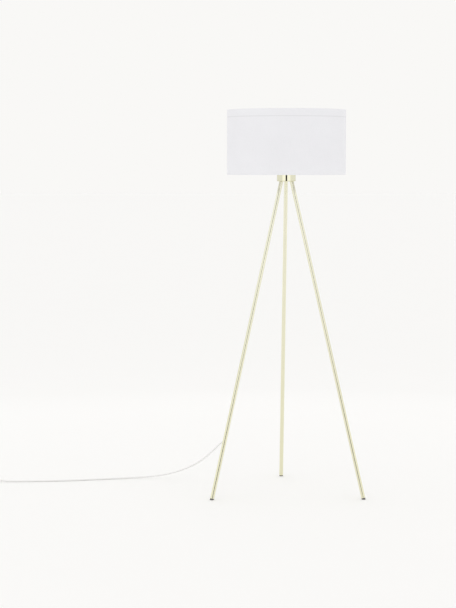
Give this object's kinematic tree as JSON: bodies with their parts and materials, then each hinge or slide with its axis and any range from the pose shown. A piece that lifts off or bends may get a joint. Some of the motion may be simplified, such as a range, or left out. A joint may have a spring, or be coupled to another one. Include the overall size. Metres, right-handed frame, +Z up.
{
  "type": "tripod floor lamp",
  "caption": "Floor lamp: white drum shade on a short polished hub with splayed tubular brass legs, rubber feet, and a mains cord with foot switch and plug leaving a leg near the floor.",
  "frame": {"origin": "on the lamp's vertical axis at floor level, under the middle of the hub", "axes": "+Z up; the rear leg points along +Y, the front legs at 30 degrees below -X and +X, and the cord leaves towards -X"},
  "size_m": [1.7473, 0.5988, 1.5551],
  "materials": {
    "shade_cloth": "fine plain weave, white",
    "shade_lining": "white styrene sheet",
    "white_wire": "white powder coat",
    "zinc_steel": "zinc plated",
    "white_plastic": "moulded white",
    "holder_ceramic": "unglazed white",
    "contact_brass": "bare",
    "opal_glass": "opal white",
    "black_glass": "black",
    "hub_brass": "polished pale brass plate",
    "leg_brass": "satin pale brass plate",
    "foot_rubber": "black",
    "cord_sheath": "smooth white PVC",
    "switch_grey": "fine spark texture"
  },
  "bodies": {
    "stand": {"holder_cap": "white_plastic", "holder_core": "holder_ceramic", "holder_barrel": "white_plastic", "holder_centre_contact": "contact_brass", "holder_side_contact": "contact_brass", "holder_terminal_screws": "contact_brass", "shade_ring_lower": "white_plastic", "shade_ring_upper": "white_plastic", "holder_stem": "zinc_steel", "holder_stem_nut": "zinc_steel", "holder_washer": "zinc_steel", "hub_housing": "hub_brass", "hub_lid": "hub_brass", "hub_lid_screws": "zinc_steel", "terminal_block": "white_plastic", "terminal_sleeves": "contact_brass", "terminal_screws": "zinc_steel", "mains_wires": "cord_sheath", "holder_wires": "cord_sheath", "leg_left": "leg_brass", "leg_right": "leg_brass", "leg_rear": "leg_brass", "leg_bushes": "zinc_steel", "leg_studs": "zinc_steel", "foot_left": "foot_rubber", "foot_right": "foot_rubber", "foot_rear": "foot_rubber", "leg_cable": "cord_sheath", "cord_grommet": "cord_sheath", "cord_to_switch": "cord_sheath", "cord_to_coil": "cord_sheath", "cord_coil": "cord_sheath", "cord_to_plug": "cord_sheath", "switch_base": "switch_grey", "switch_cover": "switch_grey", "switch_spring": "zinc_steel", "switch_block": "white_plastic", "switch_terminals": "contact_brass", "switch_screws": "zinc_steel", "switch_sleeves": "switch_grey", "plug_body": "white_plastic", "plug_pins": "zinc_steel", "plug_sleeve": "white_plastic"},
    "shade": {"shade_fabric": "shade_cloth", "shade_liner": "shade_lining", "shade_seam": "shade_cloth", "shade_top_wire": "zinc_steel", "shade_bottom_wire": "zinc_steel", "shade_top_hem": "shade_cloth", "shade_bottom_hem": "shade_cloth", "shade_arms": "white_wire", "shade_fitter": "white_wire"},
    "bulb_contact": {"bulb_insulator": "black_glass", "bulb_tip": "zinc_steel"},
    "bulb": {"bulb_glass": "opal_glass", "bulb_cap": "zinc_steel"},
    "switch_button": {"switch_button": "white_plastic"}
  },
  "joints": [
    {"name": "shade_turn", "type": "hinge", "parent": "stand", "child": "shade", "pos_m": [0, 0, 1.3778], "axis": [0, 0, 1], "continuous": true},
    {"name": "bulb_lift", "type": "slide", "parent": "stand", "child": "bulb_contact", "axis": [0, 0, 1], "range_m": [0, 0.0185]},
    {"name": "bulb_turn", "type": "hinge", "parent": "bulb_contact", "child": "bulb", "pos_m": [0, 0, 1.4], "axis": [0, 0, 1], "range_deg": [0, 1800]},
    {"name": "switch_press", "type": "slide", "parent": "stand", "child": "switch_button", "axis": [0, 0, -1], "range_m": [0, 0.0035], "stiffness_N_per_m": 900, "springref_m": -0.003, "deforming": ["switch_spring"]}
  ],
  "couplings": [
    {"joint": "bulb_lift", "follows": "bulb_turn", "m_per_rad": 0.00057752}
  ]
}
